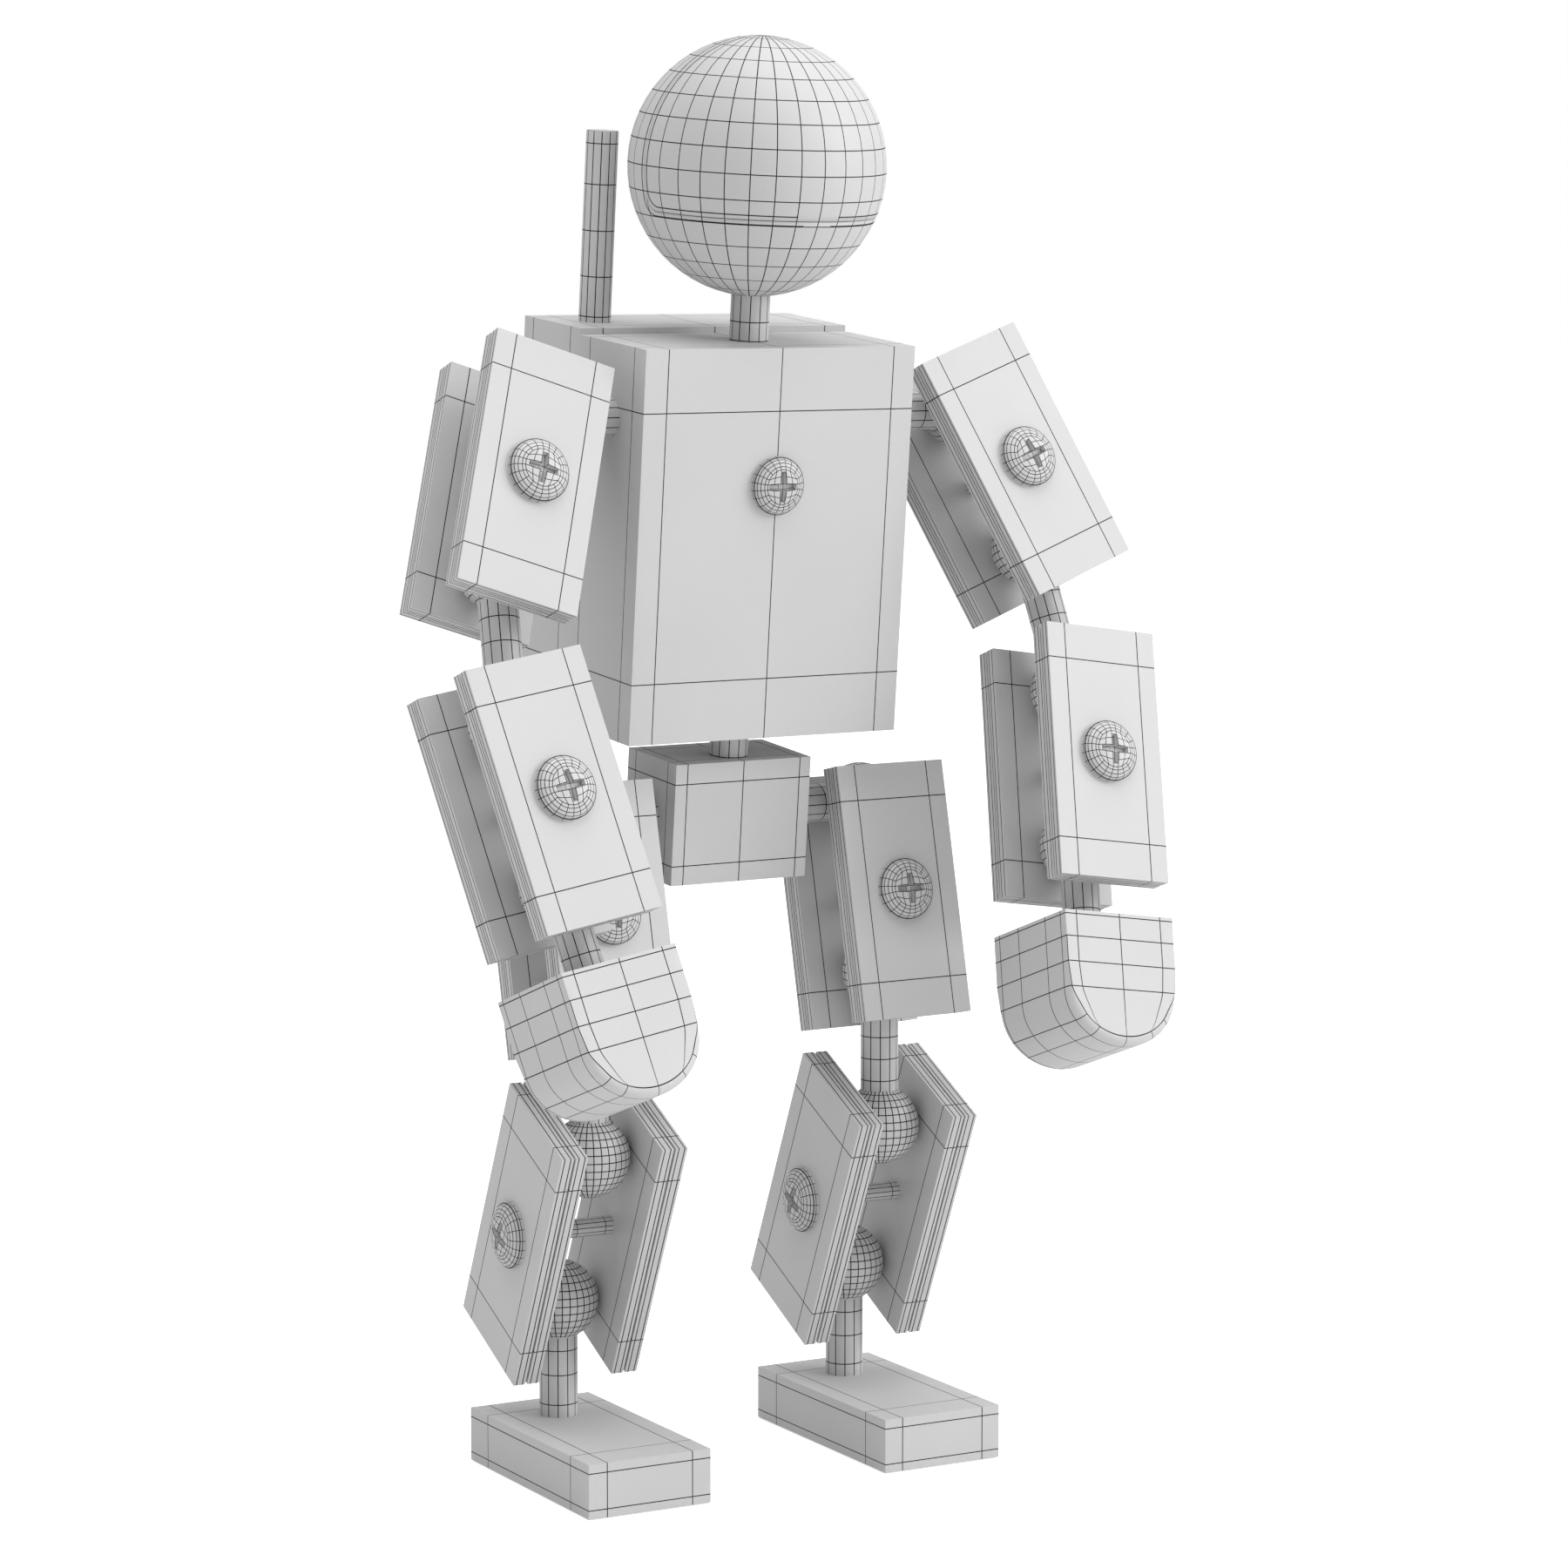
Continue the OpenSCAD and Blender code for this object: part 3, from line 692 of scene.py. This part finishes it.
for side in SIDES:
    for link in LINKS:
        at, half = link_frame(side, link)
        scale = half.z / LINK_HALF_L
        half = half / scale
        body = f"{side}_{link}"
        near, far = slab_pair(half, half.y - SLAB_T)
        far = carve(far, prism(circle(NUT_CORNER_R, 6), half.y - NUT_T, half.y + 1, 1))
        piece(f"{body}_outer", joined(near, far), at, body, "plate", [f"{body}_outer_slabs"], scale)
        inner_face = half.y - 2 * SLAB_T - GROOVE_W
        inner = joined(*slab_pair(half, inner_face), *land_pair(half, inner_face))
        piece(f"{body}_inner", inner, at, body, "plate", [f"{body}_inner_slabs"], scale)
        screw = moved(turned(cross_screw(SCREW_HEAD_R, 2 * half.y), 90, "X"), y=-half.y)
        piece(f"{body}_screw", screw, at, body, "screw_head", [f"{body}_clamp_screw"], scale)


def rod_piece(side, name, body, centre, down, ball_r, low=None, low_ball=None):
    """Rod whose ball is centred there and which points down: as far as its CAD node, or to low."""
    node = f"{side}_{name}_rod"
    at = frame_at(centre, -down, Vector((0, 1, 0)) if abs(down.y) < 0.9 else Vector((1, 0, 0)))
    if low is None:
        low = extent(node, at)[0].z
    rod = ball_rod(ball_r, low, ROD_RINGS[name], low_ball)
    piece(f"{side}_{name}_ball_rod", rod, at, f"{side}_{body}", "rod", [node], flat_weights=False)


for side, sign in (("right", -1), ("left", 1)):
    inward = Vector((-sign, 0, 0))
    rod_piece(side, "shoulder", "shoulder_pivot", joint_pos(f"{side}_arm_spread"), inward, BALL_R)
    rod_piece(side, "hip", "hip_pivot", joint_pos(f"{side}_hip_spread"), inward, BALL_R)
    for name, joint, lower, low_ball in (("elbow", "elbow_upper", "elbow_lower", BALL_R),
                                         ("knee", "knee_sway", "knee_bend", SHIN_BALL_R)):
        centre = joint_pos(f"{side}_{joint}")
        along = joint_pos(f"{side}_{lower}") - centre
        rod_piece(side, name, f"{name}_pivot", centre, along.normalized(), BALL_R, -along.length / MM, low_ball)
    wrist = joint_pos(f"{side}_wrist_bend")
    along = wrist - joint_pos(f"{side}_elbow_lower")
    rod_piece(side, "wrist", "hand", wrist, along.normalized(), BALL_R)
    rod_piece(side, "ankle", "foot", joint_pos(f"{side}_ankle_bend"), Vector((0, 0, -1)), SHIN_BALL_R)


# ---- hands and feet ----
def smooth(t):
    """Eases from 0 to 1."""
    t = min(max(t, 0.0), 1.0)
    return t * t * (3 - 2 * t)


def hand_grid(half, floor):
    """The hand before its lower part is drawn in: a lined box with fine divisions."""
    xs = [half.x * f for f in (-0.8, 0.0, 0.76)]
    ys = [half.y * (2 * f - 1) for f in (0.075, 0.285, 0.66, 0.925)]
    zs = [half.z - floor * f for f in (0.03, 0.2, 0.39, 0.58)]
    round_h = floor - HAND_STRAIGHT
    side_z = half.z - HAND_STRAIGHT - 0.8 * round_h
    rim_steps = (0.0, 0.16, 0.33, 0.5, 0.67, 0.84)
    fine = ([half.x * k / 8 for k in range(-7, 8)],
            [s * (half.y - HAND_RIM_R * f) for s in (-1, 1) for f in rim_steps],
            [half.z - HAND_STRAIGHT - round_h * k / 10 for k in range(10)])
    bm = grid_box(half, (xs, ys, zs), fine)
    upper = [e for e in square_edges(bm) if all(v.co.z > half.z - HAND_STRAIGHT - 0.01 for v in e.verts)]
    round_edges(bm, upper, HAND_EDGE_R)
    bm.normal_update()
    marked = {e for e in bm.edges if len(e.link_faces) == 2 and
              all(v.co.y < 0.3 - half.y and v.co.z < half.z - 2 for v in e.verts) and
              sorted(f.normal.y < -0.999 for f in e.link_faces) == [False, True]}
    for axis, coordinates in enumerate((xs, ys, zs)):
        marked |= set(cut_edges(bm, axis, coordinates))
    marked |= {e for e in cut_edges(bm, 2, [side_z]) if any(abs(v.co.y) < half.y - 0.01 for v in e.verts)}
    draw_lines(bm, marked, LINE_W)
    return bm


def hand_mesh(half):
    """Mitten: a lined box whose lower part is drawn into a half round with a rounded rim."""
    floor = 2 * half.z
    round_h = floor - HAND_STRAIGHT
    bm = hand_grid(half, floor)
    for v in bm.verts:
        below = (half.z - v.co.z - HAND_STRAIGHT) / round_h
        if below > 0:
            u = v.co.x / half.x
            v.co.x = half.x * u * math.sqrt(max(0.0, 1 - min(below, 1.0) ** 2 / 2))
            v.co.z = half.z - HAND_STRAIGHT - round_h * below * math.sqrt(max(0.0, 1 - min(u * u, 1.0) / 2))
        near = min((abs(v.co.y) - (half.y - HAND_RIM_R)) / HAND_RIM_R, 1.0)
        if near > 0 and below > -HAND_RIM_FADE:
            strength = smooth(below + HAND_RIM_FADE)
            bend = near * math.pi / 2
            out = Vector((v.co.x / half.x, 0, (v.co.z - (half.z - HAND_STRAIGHT)) / round_h))
            if below <= 0:
                out.z = 0
            v.co -= out * HAND_RIM_R * (1 - math.cos(bend)) * strength
            v.co.y += math.copysign(HAND_RIM_R * (math.sin(bend) - near) * strength, v.co.y)
    return bm


for side in SIDES:
    wrist = joint_pos(f"{side}_wrist_bend")
    down = wrist - joint_pos(f"{side}_elbow_lower")
    normal = joint_axis(f"{side}_wrist_bend")
    at = frame_at(wrist, -down, normal if normal.y > 0 else -normal)
    at, half = recentred(f"{side}_hand", at)
    piece(f"{side}_mitten", hand_mesh(half), at, f"{side}_hand", "block", [f"{side}_hand"])
    facing = Matrix.Rotation(math.radians(FOOT_YAW), 4, "Z")
    at, half = recentred(f"{side}_foot", facing)
    foot = lined_box(half, FOOT_LINES, BLOCK_EDGE_R)
    piece(f"{side}_foot_block", foot, at, f"{side}_foot", "block", [f"{side}_foot"])

# CAD nodes that no piece replaced: the insert, nuts and set screws
for name, node in frame["nodes"].items():
    if not node.hide_render:
        for node_slot in node.material_slots:
            node_slot.material = MATERIALS["insert" if name == "chest_insert" else "fastener"]


# ---- floor, light and camera ----
def seen_directly(tree, to_camera, to_rest):
    """Mixes two shaders: one for what the camera sees, one for the light it gives."""
    mix = tree.nodes.new("ShaderNodeMixShader")
    tree.links.new(tree.nodes.new("ShaderNodeLightPath").outputs["Is Camera Ray"], mix.inputs[0])
    tree.links.new(to_rest, mix.inputs[1])
    tree.links.new(to_camera, mix.inputs[2])
    return mix.outputs[0]


def floor_material():
    """White floor that also glows for the camera, so that it blends into the backdrop."""
    mat = bpy.data.materials.new("floor_white")
    mat.use_nodes = True
    tree = mat.node_tree
    shader = tree.nodes["Principled BSDF"]
    shader.inputs["Base Color"].default_value = (0.8, 0.8, 0.8, 1)
    shader.inputs["Roughness"].default_value = 0.9
    glow = tree.nodes.new("ShaderNodeEmission")
    glow.inputs["Strength"].default_value = FLOOR_GLOW
    both = tree.nodes.new("ShaderNodeAddShader")
    tree.links.new(shader.outputs[0], both.inputs[0])
    tree.links.new(glow.outputs[0], both.inputs[1])
    surface = seen_directly(tree, both.outputs[0], shader.outputs[0])
    tree.links.new(surface, tree.nodes["Material Output"].inputs[0])
    return mat


floor_bm = bmesh.new()
bmesh.ops.create_grid(floor_bm, x_segments=1, y_segments=1, size=6)
floor_mesh = bpy.data.meshes.new("floor")
floor_bm.to_mesh(floor_mesh)
floor_bm.free()
floor_mesh.materials.append(floor_material())
floor = bpy.data.objects.new("floor", floor_mesh)
floor.location.z = -0.0002
bpy.context.scene.collection.objects.link(floor)

world = bpy.data.worlds.new("studio")
bpy.context.scene.world = world
world.use_nodes = True
sky = world.node_tree.nodes["Background"]
backdrop = world.node_tree.nodes.new("ShaderNodeBackground")
for node, strength in ((sky, AMBIENT), (backdrop, 1.0)):
    node.inputs["Color"].default_value = (1, 1, 1, 1)
    node.inputs["Strength"].default_value = strength
world.node_tree.links.new(seen_directly(world.node_tree, backdrop.outputs[0], sky.outputs[0]),
                          world.node_tree.nodes["World Output"].inputs[0])


def area_light(name, at, target, size, power):
    """Square light at a place in metres, aimed at the target."""
    lamp = bpy.data.lights.new(name, "AREA")
    lamp.shape = "SQUARE"
    lamp.size = size
    lamp.energy = power
    obj = bpy.data.objects.new(name, lamp)
    obj.location = at
    obj.rotation_euler = (Vector(target) - Vector(at)).to_track_quat("-Z", "Y").to_euler()
    bpy.context.scene.collection.objects.link(obj)


area_light("key", (2.0, -1.65, 1.2), (0, 0, 0.12), 1.7, 45.0)
area_light("top", (0.0, -0.1, 2.1), (0, 0, 0.12), 2.2, 35.0)

scene = bpy.context.scene
scene.view_settings.view_transform = "Standard"
camera_data = bpy.data.cameras.new("camera")
camera_data.lens = CAMERA_LENS
camera_data.sensor_width = 36
camera = bpy.data.objects.new("camera", camera_data)
camera.location = Vector(CAMERA_AT) * MM
camera.rotation_euler = (math.radians(90 - CAMERA_PITCH), 0, math.radians(CAMERA_AZIMUTH))
scene.collection.objects.link(camera)
scene.camera = camera
